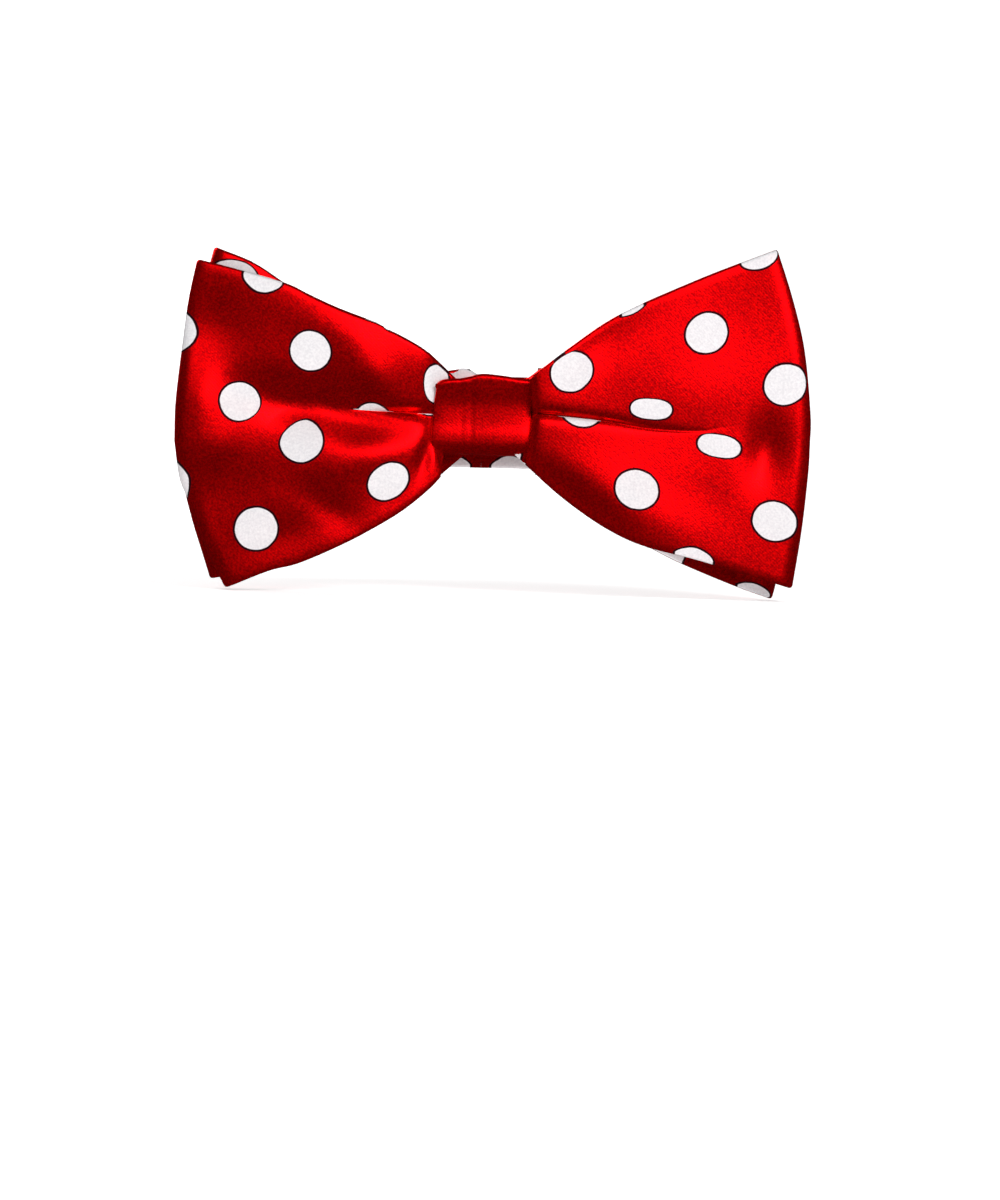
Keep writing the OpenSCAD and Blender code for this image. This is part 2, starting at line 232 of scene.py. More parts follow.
class Wing:
    """One side of a bow: a cloth loop that fans out from the knot to a fold at the side.

    Its outlines are as seen from the front, and each point moves along its line of sight by its depth.
    Each of its dents is what hollow() takes: x, z, angle, length, width and depth.
    """

    def __init__(self, top, bottom, crease, side_low, side_high, upper, lower, dents,
                 front_path, back_side, back_root, fold_r, pleat, crisp, open_at, roll=0.8, lean=0.0):
        self.top, self.bottom, self.crease = top, bottom, crease
        self.side_low, self.side_high = side_low, side_high
        self.upper, self.lower, self.dents = upper, lower, dents
        self.front_path, self.roll, self.lean = front_path, roll, lean
        self.back_side, self.back_root = back_side, back_root
        self.fold_r, self.pleat, self.crisp, self.open_at = fold_r, pleat, crisp, open_at

    def patch(self, s):
        """Front view places for columns s (0 at the knot, 1 at the side) and every row."""
        fine = 201
        top, bottom, crease = (curve(p, fine) for p in (self.top, self.bottom, self.crease))
        halves = []
        near = np.linspace(0, 1, wall_rows + 1) ** row_gather
        for low, high, side, t in ((bottom, crease, self.side_low, 1 - near[::-1]),
                                   (crease, top, self.side_high, near)):
            side = curve(side, fine)
            side = np.stack([np.interp(t, np.linspace(0, 1, fine), side[:, k]) for k in (0, 1)], -1)[None]
            t = t[None, :, None]
            at = np.stack([np.interp(s, np.linspace(0, 1, fine), low[:, k]) for k in (0, 1)], -1)[:, None]
            up = np.stack([np.interp(s, np.linspace(0, 1, fine), high[:, k]) for k in (0, 1)], -1)[:, None]
            flat = (1 - t) * at + t * up
            bulge = side - ((1 - t) * low[-1] + t * high[-1])
            halves.append(flat + np.asarray(s)[:, None, None] ** 3 * bulge)
        return np.concatenate([halves[0][:, :-1], halves[1]], axis=1)

    def from_crease(self, places):
        """Signed height above the crease for each place in a patch."""
        line = places[:, wall_rows:wall_rows + 1]
        return np.linalg.norm(places - line, axis=2) * np.sign(places[..., 1] - line[..., 1])

    def wall_front(self, s, places):
        """Depth of the front wall: out from the knot, over the lobes and on to the side fold."""
        path = curve(self.front_path, 101)
        y = np.interp(s, path[:, 0], path[:, 1])[:, None]
        above = self.from_crease(places)
        depth = self.pleat * (1 - smooth(s, 0.0, self.open_at))[:, None]
        keen = (1 - smooth(s, 0.25 * self.crisp, self.crisp))[:, None]
        keen = np.broadcast_to(keen, above.shape)
        sharp = np.exp(-np.abs(above) / crease_sharp)
        soft = np.exp(-(above / crease_soft) ** 2)
        y = y + depth * (keen * sharp + (1 - keen) * soft)
        near = np.linspace(0, 1, wall_rows + 1) ** row_gather
        rows = np.concatenate([near[:0:-1], near])[None]
        groove = groove_depth * (1 - smooth(s, 0.4 * self.crisp, self.crisp))[:, None]
        y = y + groove * np.exp(-np.abs(above) / np.where(above > 0, groove_above, groove_below))
        y = y + self.roll * np.abs(rows) ** 5
        y = y + self.lean * smooth(s, 0.1, 0.4)[:, None] * (places[..., 1] - eye_z)
        for dent in self.dents:
            y = y + hollow(places, *dent)
        limit = self.back_wall(s)[:, None] - cloth_t - wall_gap
        room = limit - y
        return limit - (room + np.sqrt(room ** 2 + wall_ease ** 2)) / 2

    def back_wall(self, s):
        """Depth of the back wall, from the knot to the side."""
        return self.back_root + (self.back_side - self.back_root) * smooth(s, 0.0, 0.5)

    def build(self):
        """Grid columns from the knot over the front, round the side fold and back, with lattice places."""
        r = self.fold_r
        length = abs(self.top[-1][0] - self.top[0][0])
        s_fold = 1 - r / length
        s_front = np.linspace(0, 1, wall_columns) ** 0.9 * s_fold
        front = self.patch(s_front)
        y_front = self.wall_front(s_front, front)
        turn = np.linspace(0, math.pi, fold_columns)[1:-1]
        round_s = 1 - r * (1 - np.sin(turn)) / length
        bend = self.patch(round_s)
        front_end = y_front[-1]
        back_y = self.back_side
        centre = (front_end + back_y) / 2
        y_bend = centre[None] - (back_y - front_end)[None] / 2 * np.cos(turn)[:, None]
        s_back = np.linspace(1, 0, back_columns) * s_fold
        back = self.patch(s_back)
        y_back = np.broadcast_to(self.back_wall(s_back)[:, None], back.shape[:2])
        places = np.concatenate([front, bend, back])
        depth = np.concatenate([y_front, y_bend, y_back])
        nearer = 1 + depth * MM / camera_distance
        grid = np.stack([places[..., 0] * nearer, depth, eye_z + (places[..., 1] - eye_z) * nearer], axis=-1)
        return grid, self.lattice(front, turn, back)

    def lattice(self, front, turn, back):
        """Dot lattice places: the front as it is seen, then on round the fold by its true length."""
        r = self.fold_r
        start = front[-1]
        outward = unit(front[-1] - front[-6])
        round_it = start[None] + outward[None] * (r * turn)[:, None, None]
        travelled = np.linalg.norm(back - back[0][None], axis=2)[..., None]
        behind = start[None] + outward[None] * (r * math.pi + travelled)
        spread = np.concatenate([front, round_it, behind])
        above = self.from_crease(front)
        s = np.linspace(0, 1, len(front))[:, None]
        width = 0.12 + 5.5 * smooth(s, self.crisp * 0.8, self.crisp + 0.25)
        weight = smooth(above / width, -1, 1)
        weight = np.concatenate([weight] + [weight[-1:]] * (len(turn) + len(back)))[..., None]
        return (1 - weight) * self.lower(spread) + weight * self.upper(spread)


def make_bow(name, left, right, outer, inner):
    """A whole bow: both wings and the waist between them as one closed band, and its interlining."""
    right_grid, right_uv = right.build()
    left_grid, left_uv = left.build()
    grid = np.concatenate([right_grid, left_grid[::-1]])
    uv = np.concatenate([right_uv, left_uv[::-1], right_uv[:1]])
    satin_band = shell(name + "_satin", grid, uv, cloth_t, outer, closed=True)
    inside = grid - grid_normals(grid, True) * (cloth_t - lining_t) / 2
    lining = shell(name + "_lining", inside[:, 1:-1], uv[:, 1:-1], lining_t, inner, closed=True)
    for piece, node in ((satin_band, name), (lining, name + "_interlining")):
        dress(piece, node, "bow")


def dress(piece, node, body=None):
    """The piece stands for a CAD node, which it hides, and rides on a body if one is given."""
    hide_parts(node)
    if body:
        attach(piece, body)


# ---- materials ----


def new_material(name):
    material = bpy.data.materials.new(name)
    material.use_nodes = True
    tree = material.node_tree
    return material, tree, tree.nodes["Principled BSDF"]


def math_node(tree, operation, a, b=None, clamp=False):
    node = tree.nodes.new("ShaderNodeMath")
    node.operation = operation
    node.use_clamp = clamp
    for k, value in enumerate((a, b)):
        if value is None:
            continue
        if isinstance(value, (int, float)):
            node.inputs[k].default_value = value
        else:
            tree.links.new(value, node.inputs[k])
    return node.outputs[0]


def noise_node(tree, vector, scale, detail=2.0, rough=0.5):
    node = tree.nodes.new("ShaderNodeTexNoise")
    node.inputs["Scale"].default_value = scale
    node.inputs["Detail"].default_value = detail
    node.inputs["Roughness"].default_value = rough
    tree.links.new(vector, node.inputs["Vector"])
    return node.outputs["Fac"]


def ramp_step(tree, value, low, high):
    """0 to 1 as value goes from low to high."""
    node = tree.nodes.new("ShaderNodeMapRange")
    node.interpolation_type = "SMOOTHSTEP"
    node.inputs["From Min"].default_value = low
    node.inputs["From Max"].default_value = high
    tree.links.new(value, node.inputs["Value"])
    return node.outputs["Result"]


def mix_colour(tree, factor, a, b):
    node = tree.nodes.new("ShaderNodeMix")
    node.data_type = "RGBA"
    tree.links.new(factor, node.inputs["Factor"])
    for key, value in (("A", a), ("B", b)):
        socket = [i for i in node.inputs if i.name == key and i.type == "RGBA"][0]
        if isinstance(value, tuple):
            socket.default_value = (*value, 1.0)
        else:
            tree.links.new(value, socket)
    return [o for o in node.outputs if o.type == "RGBA"][0]


SATIN_RED = (0.90, 0.0016, 0.002)
SATIN_DEEP = (0.50, 0.001, 0.003)
METAL = 0.93
DOT_WHITE = (0.82, 0.81, 0.82)
DOT_SHADE = (0.70, 0.69, 0.71)
OUTLINE = (0.012, 0.002, 0.004)


def satin(name, dots):
    """Red satin with a fine weave and grain, printed with outlined white dots where dots is true."""
    material, tree, shader = new_material(name)
    coords = tree.nodes.new("ShaderNodeTexCoord")
    place = coords.outputs["Object"]
    grain = noise_node(tree, place, 2300, 2.0, 0.6)
    mottle = noise_node(tree, place, 260, 2.0, 0.5)
    tint = ramp_step(tree, math_node(tree, "ADD", math_node(tree, "MULTIPLY", grain, 0.85),
                                     math_node(tree, "MULTIPLY", mottle, 0.15)), 0.3, 0.7)
    red = mix_colour(tree, tint, SATIN_DEEP, SATIN_RED)
    weave = tree.nodes.new("ShaderNodeTexWave")
    weave.wave_type = "BANDS"
    weave.bands_direction = "DIAGONAL"
    weave.inputs["Scale"].default_value = 900
    weave.inputs["Distortion"].default_value = 1.2
    weave.inputs["Detail"].default_value = 1.0
    tree.links.new(place, weave.inputs["Vector"])
    height = math_node(tree, "ADD", math_node(tree, "MULTIPLY", weave.outputs["Fac"], 0.12),
                       math_node(tree, "MULTIPLY", grain, 0.88))
    bump = tree.nodes.new("ShaderNodeBump")
    bump.inputs["Strength"].default_value = 0.28
    bump.inputs["Distance"].default_value = 0.00012
    tree.links.new(height, bump.inputs["Height"])
    tree.links.new(bump.outputs["Normal"], shader.inputs["Normal"])
    rough = math_node(tree, "ADD", math_node(tree, "MULTIPLY", grain, 0.16), 0.33)
    tree.links.new(rough, shader.inputs["Roughness"])
    shader.inputs["Specular IOR Level"].default_value = 0.2
    shader.inputs["Specular Tint"].default_value = (1.0, 0.03, 0.03, 1.0)
    shader.inputs["Sheen Weight"].default_value = 0.03
    shader.inputs["Sheen Roughness"].default_value = 0.4
    shader.inputs["Sheen Tint"].default_value = (1.0, 0.05, 0.05, 1.0)
    if not dots:
        tree.links.new(red, shader.inputs["Base Color"])
        shader.inputs["Metallic"].default_value = METAL
        return material
    uv = tree.nodes.new("ShaderNodeUVMap")
    uv.uv_map = "cloth"
    split = tree.nodes.new("ShaderNodeSeparateXYZ")
    tree.links.new(uv.outputs["UV"], split.inputs[0])
    squares = []
    for axis in ("X", "Y"):
        cell = math_node(tree, "FRACT", math_node(tree, "ADD", split.outputs[axis], 100.5))
        offset = math_node(tree, "SUBTRACT", cell, 0.5)
        squares.append(math_node(tree, "MULTIPLY", offset, offset))
    distance = math_node(tree, "SQRT", math_node(tree, "ADD", squares[0], squares[1]))
    wobble = math_node(tree, "SUBTRACT", noise_node(tree, place, 500), 0.5)
    wobble = math_node(tree, "MULTIPLY", wobble, 0.012)
    distance = math_node(tree, "ADD", distance, wobble)
    radius = dot_radius / dot_pitch
    soft = 0.05 / dot_pitch
    outer = radius + dot_outline / dot_pitch
    inked = ramp_step(tree, distance, outer + soft, outer - soft)
    white = ramp_step(tree, distance, radius + soft, radius - soft)
    thread_tone = mix_colour(tree, tint, DOT_SHADE, DOT_WHITE)
    colour = mix_colour(tree, inked, red, OUTLINE)
    colour = mix_colour(tree, white, colour, thread_tone)
    tree.links.new(colour, shader.inputs["Base Color"])
    metal = math_node(tree, "MULTIPLY", math_node(tree, "SUBTRACT", 1.0, inked), METAL)
    tree.links.new(metal, shader.inputs["Metallic"])
    return material


def woven(name, colour, scale):
    """A plain matt cloth or thread with visible fibres."""
    material, tree, shader = new_material(name)
    place = tree.nodes.new("ShaderNodeTexCoord").outputs["Object"]
    fibres = noise_node(tree, place, scale, 4.0, 0.7)
    dark = tuple(0.6 * c for c in colour)
    tree.links.new(mix_colour(tree, fibres, dark, colour), shader.inputs["Base Color"])
    shader.inputs["Roughness"].default_value = 0.85
    bump = tree.nodes.new("ShaderNodeBump")
    bump.inputs["Strength"].default_value = 0.4
    bump.inputs["Distance"].default_value = 0.0002
    tree.links.new(fibres, bump.inputs["Height"])
    tree.links.new(bump.outputs["Normal"], shader.inputs["Normal"])
    return material


def metal(name, colour):
    """Bright nickel plate with fine polishing marks and a little wear."""
    material, tree, shader = new_material(name)
    place = tree.nodes.new("ShaderNodeTexCoord").outputs["Object"]
    wear = noise_node(tree, place, 420, 4.0, 0.6)
    fine = noise_node(tree, place, 2600, 2.0, 0.6)
    dull = tuple(0.72 * c for c in colour)
    worn = ramp_step(tree, wear, 0.35, 0.6)
    tree.links.new(mix_colour(tree, worn, dull, colour), shader.inputs["Base Color"])
    shader.inputs["Metallic"].default_value = 1.0
    rough = math_node(tree, "ADD", math_node(tree, "MULTIPLY", wear, 0.2), 0.12)
    tree.links.new(rough, shader.inputs["Roughness"])
    bump = tree.nodes.new("ShaderNodeBump")
    bump.inputs["Strength"].default_value = 0.12
    bump.inputs["Distance"].default_value = 0.00005
    tree.links.new(fine, bump.inputs["Height"])
    tree.links.new(bump.outputs["Normal"], shader.inputs["Normal"])
    return material


def thread(name, colour):
    """Twisted sewing thread: slanting plies over a fibrous tone."""
    material, tree, shader = new_material(name)
    place = tree.nodes.new("ShaderNodeTexCoord").outputs["Object"]
    plies = tree.nodes.new("ShaderNodeTexWave")
    plies.bands_direction = "DIAGONAL"
    plies.inputs["Scale"].default_value = 900
    plies.inputs["Distortion"].default_value = 2.0
    tree.links.new(place, plies.inputs["Vector"])
    dark = tuple(0.45 * c for c in colour)
    tree.links.new(mix_colour(tree, plies.outputs["Fac"], dark, colour), shader.inputs["Base Color"])
    shader.inputs["Roughness"].default_value = 0.55
    bump = tree.nodes.new("ShaderNodeBump")
    bump.inputs["Strength"].default_value = 0.5
    bump.inputs["Distance"].default_value = 0.00015
    tree.links.new(plies.outputs["Fac"], bump.inputs["Height"])
    tree.links.new(bump.outputs["Normal"], shader.inputs["Normal"])
    return material


def refinish(node, material):
    """A CAD node keeps its shape and takes a better material."""
    slots = nodes[node].data.materials
    slots.clear()
    slots.append(material)


def stage_material(name, glow):
    material, tree, shader = new_material(name)
    coords = tree.nodes.new("ShaderNodeTexCoord")
    tone = noise_node(tree, coords.outputs["Object"], 6.0)
    pale = mix_colour(tree, tone, (0.90, 0.90, 0.90), (0.93, 0.93, 0.93))
    tree.links.new(pale, shader.inputs["Base Color"])
    shader.inputs["Roughness"].default_value = 0.9
    shader.inputs["Emission Color"].default_value = (1, 1, 1, 1)
    shader.inputs["Emission Strength"].default_value = glow
    return material


# ---- camera, light and floor ----

frame_width_mm = 189.3
lens_mm = 36 * camera_distance / (frame_width_mm * MM)
scene_roll = -1.27
frame_shift = (0.008, -0.1763)
world_glow = 0.07
floor_glow = 0.58

# place in metres, size in metres, power in watts
LIGHTS = {
    "key": ((0.38, -0.8, 0.52), (0.35, 0.25), 6.5),
    "fill": ((-0.3, -1.1, 0.9), (0.6, 0.4), 2.4),
    "back": ((-0.5, 0.9, 0.5), (0.5, 0.4), 7),
}


def set_camera():
    data = bpy.data.cameras.new("camera")
    data.sensor_width = 36
    data.sensor_fit = "HORIZONTAL"
    data.lens = lens_mm
    data.shift_x, data.shift_y = frame_shift
    camera = bpy.data.objects.new("camera", data)
    bpy.context.scene.collection.objects.link(camera)
    level = Matrix.Translation((0, -camera_distance, eye_z * MM)) @ Matrix.Rotation(math.pi / 2, 4, "X")
    camera.matrix_world = level @ Matrix.Rotation(math.radians(-scene_roll), 4, "Z")
    bpy.context.scene.camera = camera


def area_light(name, place, size, power, target=(0, 0, 0.03)):
    data = bpy.data.lights.new(name, "AREA")
    data.shape = "RECTANGLE"
    data.size, data.size_y = size
    data.energy = power
    light = bpy.data.objects.new(name, data)
    bpy.context.scene.collection.objects.link(light)
    light.location = place
    light.rotation_euler = (Vector(target) - Vector(place)).to_track_quat("-Z", "Y").to_euler()


def set_light():
    world = bpy.data.worlds.new("studio")
    world.use_nodes = True
    world.node_tree.nodes["Background"].inputs["Color"].default_value = (1, 1, 1, 1)
    world.node_tree.nodes["Background"].inputs["Strength"].default_value = world_glow
    bpy.context.scene.world = world
    bpy.context.scene.view_settings.view_transform = "Standard"
    for name, (place, size, power) in LIGHTS.items():
        area_light(name, place, size, power)


def set_stage():
    """A pale floor that curves up behind the bow, low enough to look over from behind."""
    size = 3.0
    near = -2.0
    depth = 1.2
    bend = 0.5
    height = 0.3
    profile = [(near, 0.0), (depth - bend, 0.0)]
    rise = math.acos(1 - height / bend)
    profile += [(depth - bend + bend * math.sin(a), bend - bend * math.cos(a))
                for a in np.linspace(0, rise, 12)[1:]]
    verts = [(x, y, z) for y, z in profile for x in (-size, size)]
    faces = [(2 * k, 2 * k + 1, 2 * k + 3, 2 * k + 2) for k in range(len(profile) - 1)]
    floor = make_mesh("floor", np.array(verts) / MM, faces, None, stage_material("pale_floor", floor_glow))
    floor.visible_glossy = False
    floor.location.z = -0.0002


# ---- front bow ----

CLOTH = satin("polka_satin", True)
PLAIN = satin("plain_satin_red", False)
LINING = woven("interlining_felt", (0.86, 0.85, 0.82), 900)

left_upper = Print({(0, 0): (-47.6, 35.1), (1, 0): (-34.9, 45.0), (0, 1): (-60.5, 48.1),
                    (1, 1): (-43.4, 59.8), (1, -1): (-21.8, 32.2), (2, -1): (-11.2, 38.8)},
                   [(-11.2, 38.8, 80, 0.8, 5.0)])
left_lower = Print({(0, -1): (-36.0, 27.9), (0, -2): (-19.4, 20.7), (-1, -1): (-44.2, 11.1),
                    (-1, 0): (-61.0, 19.3), (1, -2): (-11.3, 37.5)}, [(-19.4, 20.7, 35, 0.35, 6.0)])
right_upper = Print({(0, 0): (40.3, 50.1), (0, 1): (55.3, 40.4), (-1, 0): (30.0, 35.6),
                     (-1, -1): (14.9, 42.1), (0, -1): (24.8, 57.0), (1, 0): (49.4, 66.3)},
                    [(30.0, 35.6, -7, 1.2, 5.0)])
right_lower = Print({(-1, 1): (43.1, 28.7), (-2, 1): (27.7, 20.1), (-1, 2): (53.8, 14.8),
                     (-2, 0): (16.9, 35.6)}, [(43.1, 28.7, -8, 0.9, 5.0)])

front_left = Wing(
    top=[(-5.0, 38.5), (-9.0, 42.2), (-13.0, 45.7), (-18.7, 48.8), (-20.3, 49.4), (-21.6, 50.4),
         (-29.2, 53.1), (-35.0, 55.6), (-39.8, 57.8), (-49.5, 60.3), (-56.5, 61.9)],
    bottom=[(-5.0, 28.5), (-8.8, 26.4), (-9.4, 23.8), (-9.9, 21.2), (-17.0, 14.9), (-26.4, 9.4),
            (-35.8, 5.0), (-41.7, 3.3), (-49.8, -0.2)],
    crease=[(-5.0, 33.6), (-10.6, 33.6), (-27.9, 34.2), (-36.5, 35.6), (-47.0, 28.0), (-60.1, 27.5)],
    side_low=[(-49.8, -0.2), (-52.6, 5.0), (-55.2, 11.1), (-57.4, 16.7), (-59.0, 20.5), (-60.1, 27.5)],
    side_high=[(-60.1, 27.5), (-60.0, 35.2), (-58.8, 47.4), (-57.9, 54.8), (-56.5, 61.9)],
    upper=left_upper, lower=left_lower,
    dents=[
        (-38, 35, -15, 12, 4, 2.0),       # the valley over the crease
        (-56, 35, 80, 9, 5, -1.5),        # the swell at the side
        (-52, 26, 0, 10, 5, -1.0),        # the lip under the swell
        (-55, 50, -20, 8, 7, 1.5),        # the hollow inside the top corner
        (-50, 20, 50, 16, 6, 1.5),        # the hollow over the low corner
        (-38, 10, 20, 10, 4, 1.0),        # the sag over the bottom edge
        (-30, 8, 25, 12, 4, -0.8),        # the flare of the bottom edge
        (-29, 49, -25, 13, 4, -0.6),      # the ridge along the top edge
        (-22, 39, -50, 8, 4, -1.2),       # the fullness over the crease
        (-22, 26, 15, 12, 4, -1.2),       # the fullness under the crease
        (-31, 16, -30, 7, 3, 0.8),        # the slanting fold under the low dot
        (-12.5, 26, 75, 4, 1.2, 0.9),     # the swirl where the cloth goes under the knot
    ],
    front_path=[(0, -8.0), (0.10, -8.6), (0.2, -11.0), (0.5, -12.8), (0.8, -12.5), (1, -11.9)],
    back_side=-7.6, back_root=-6.9, lean=0.03, roll=0.3,
    fold_r=2.3, pleat=3.5, crisp=0.4, open_at=0.85)

front_right = Wing(
    top=[(2.5, 38.0), (8.9, 42.4), (14.5, 46.7), (23.8, 53.2), (38.8, 60.3), (53.3, 66.2)],
    bottom=[(2.5, 28.0), (7.4, 23.6), (13.2, 18.6), (20.9, 13.3), (28.5, 9.7), (39.9, 7.0), (50.8, 3.9),
            (57.5, 2.1)],
    crease=[(2.5, 34.4), (6.8, 34.2), (20.4, 33.1), (30.0, 31.7), (39.4, 31.4), (46.0, 32.2), (60.3, 29.5)],
    side_low=[(57.5, 2.1), (59.1, 13.2), (60.1, 24.0), (60.3, 29.5)],
    side_high=[(60.3, 29.5), (60.3, 35.0), (58.9, 47.2), (56.4, 57.0), (53.3, 66.2)],
    upper=right_upper, lower=right_lower,
    dents=[
        (52, 28, 85, 6, 3.5, 1.5),        # the dimple near the side
        (20, 47, 35, 10, 3, 0.5),         # the shallow fold along the top edge
        (46, 52, 60, 12, 8, 0.7),         # the hollow towards the top corner
        (15, 18, -35, 12, 3, 1.5),        # the edge that rolls under below the knot
        (28, 16, -30, 18, 6, -0.8),       # the fullness of the lower half
    ],
    front_path=[(0, -8.0), (0.09, -9.0), (0.1, -12.6), (0.13, -13.4), (0.3, -12.9), (0.6, -12.1), (1, -10.9)],
    back_side=-6.8, back_root=-6.9, lean=0.06, roll=0.1,
    fold_r=2.3, pleat=1.3, crisp=0.75, open_at=1.0)

set_camera()
set_light()
set_stage()

make_bow("front_bow", front_left, front_right, CLOTH, LINING)

# ---- rear bow ----

rear_left_upper = Print({(0, 0): (-49.0, 58.7), (1, 0): (-35.3, 68.3), (0, -1): (-38.8, 44.0),
                         (1, -1): (-24.9, 54.4), (1, -2): (-5.0, 43.4)})
rear_left_lower = Print({(0, 0): (-25.0, 21.2), (1, 0): (-17.6, 38.2), (0, 1): (-42.0, 28.6),
                         (1, 1): (-34.6, 45.6)})
rear_right_upper = Print({(0, 0): (21.0, 42.0), (1, 0): (37.4, 32.6), (0, 1): (30.6, 58.4),
                          (1, 1): (47.0, 49.0)})
rear_right_lower = Print({(0, 0): (32.9, 8.3), (1, 0): (49.3, -1.3), (0, 1): (42.5, 24.7),
                          (1, 1): (58.9, 15.1)})

rear_left = Wing(
    top=[(-2.5, 41.0), (-5.7, 42.6), (-9.0, 41.8), (-20.0, 48.4), (-35.0, 54.6), (-40.5, 58.2), (-46.0, 61.6),
         (-53.3, 64.3)],
    bottom=[(-3.0, 28.0), (-9.6, 22.0), (-17.0, 15.4), (-30.0, 8.4), (-42.0, 3.8), (-52.7, 1.5)],
    crease=[(-3.0, 33.6), (-25.0, 33.0), (-45.0, 32.0), (-58.6, 31.5)],
    side_low=[(-52.7, 1.5), (-54.1, 5.7), (-56.7, 13.6), (-58.4, 21.0), (-58.6, 31.5)],
    side_high=[(-58.6, 31.5), (-57.6, 44.0), (-55.6, 55.0), (-53.3, 64.3)],
    upper=rear_left_upper, lower=rear_left_lower, dents=[],
    front_path=[(0, -5.2), (0.5, -5.2), (1, -5.0)], back_side=1.6, back_root=0.6,
    fold_r=2.6, pleat=1.0, crisp=0.4, open_at=0.8)

rear_right = Wing(
    top=[(2.5, 39.4), (6.0, 40.4), (8.9, 42.5), (14.5, 45.4), (23.8, 51.6), (38.8, 58.6), (50.8, 63.0)],
    bottom=[(2.5, 28.0), (7.4, 24.2), (13.2, 19.2), (20.9, 13.9), (28.5, 10.2), (35.8, 6.6), (46.7, 2.3),
            (53.7, 0.0)],
    crease=[(2.5, 33.6), (25.0, 33.0), (45.0, 32.0), (58.4, 31.5)],
    side_low=[(53.7, 0.0), (54.5, 3.4), (57.2, 17.0), (58.4, 31.5)],
    side_high=[(58.4, 31.5), (57.4, 42.0), (55.0, 52.0), (50.8, 63.0)],
    upper=rear_right_upper, lower=rear_right_lower, dents=[],
    front_path=[(0, -5.2), (0.5, -5.2), (1, -5.0)], back_side=1.6, back_root=0.6,
    fold_r=2.6, pleat=1.0, crisp=0.4, open_at=0.8)

make_bow("rear_bow", rear_left, rear_right, CLOTH, LINING)

# ---- knot ----

knot_low, knot_high = (np.array(v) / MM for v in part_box("knot_wrap"))
knot_profile = [(-10.7, 40.6), (-10.4, 38.4), (-10.0, 36.4), (-9.9, 34.8), (-10.1, 32.0), (-10.5, 29.4),
                (-10.2, 27.4), (-7.6, 26.1), (-3.0, 26.1), (1.0, 26.3), (2.5, 28.0), (2.8, 33.5), (2.5, 38.8),
                (1.0, 40.7), (-3.0, 41.0), (-7.0, 41.3), (-10.1, 41.3)]
knot_top = [(-11.0, 39.2), (-9.4, 39.9), (-5.7, 40.3), (-2.2, 41.2), (1.5, 40.9), (5.2, 40.4), (7.6, 40.5)]


def make_knot():
    """A plain satin wrap: a closed loop round the waist with soft wavy edges and two upright creases."""
    around, across = 96, 40
    loop = curve(knot_profile + knot_profile[:1], around + 1)[:-1]
    middle = np.array([(knot_low[1] + knot_high[1]) / 2, (knot_low[2] + knot_high[2]) / 2])
    x = np.linspace(knot_low[0], knot_high[0] + 0.3, across)
    turn = np.linspace(0, 2 * math.pi, around, endpoint=False)
    grid = np.zeros((around, across, 3))
    out = unit(loop - middle)
    span = np.linspace(-1, 1, across)
    rim = -0.35 * np.abs(span) ** 10
    top_line = curve(knot_top, 60)
    droop = np.interp(x, top_line[:, 0], top_line[:, 1]) - 41.2
    for k in range(around):
        edge = 0.30 * math.sin(3 * turn[k] + 0.6) + 0.22 * math.sin(5 * turn[k] + 2.0)
        swell = 0.45 * math.exp(-((loop[k, 1] - 31.0) / 4.0) ** 2) if loop[k, 0] < -5 else 0.0
        left = np.exp(-((x - knot_low[0]) / 2.2) ** 2)
        right = np.exp(-((x - knot_high[0]) / 2.2) ** 2)
        grid[k, :, 0] = x + left * (edge - swell) + right * edge * 0.6
        wave = 0.07 * np.sin(x * 0.5 + 1.2 * math.sin(turn[k]))
        crease = -0.09 * np.exp(-((x + 3.8 + 0.3 * math.cos(turn[k])) / 0.35) ** 2)
        crease += -0.05 * np.exp(-((x + 6.0 - 0.4 * math.sin(turn[k])) / 0.3) ** 2)
        lift = rim + wave + crease
        grid[k, :, 1] = loop[k, 0] + out[k, 0] * lift
        grid[k, :, 2] = loop[k, 1] + out[k, 1] * lift + droop * smooth(loop[k, 1], 38.0, 41.0)
    uv = np.zeros((around + 1, across, 2))
    uv[..., 0] = x[None] / dot_pitch
    uv[..., 1] = np.linspace(0, 3, around + 1)[:, None]
    normal_out = np.sum(grid_normals(grid, True)[..., 1:] * out[:, None], axis=2).mean()
    flip = bool(normal_out < 0)
    wrap = shell("knot_wrap_satin", grid, uv, 0.9, PLAIN, closed=True, flip=flip)
    dress(wrap, "knot_wrap", "bow")
    inside = grid - grid_normals(grid, True) * (-1 if flip else 1) * 0.95
    lining = shell("knot_lining", inside[:, 3:-3], uv[:, 3:-3], 0.3, LINING, closed=True, flip=flip)
    dress(lining, "knot_interlining", "bow")


make_knot()

# ---- neckband ----


def row_box(node):
    """A node's box in millimetres."""
    low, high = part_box(node)
    return np.array(low) / MM, np.array(high) / MM


band_low, band_high = row_box("band_base")
rows_z = np.linspace(band_low[2], band_high[2] - 0.7, 13)


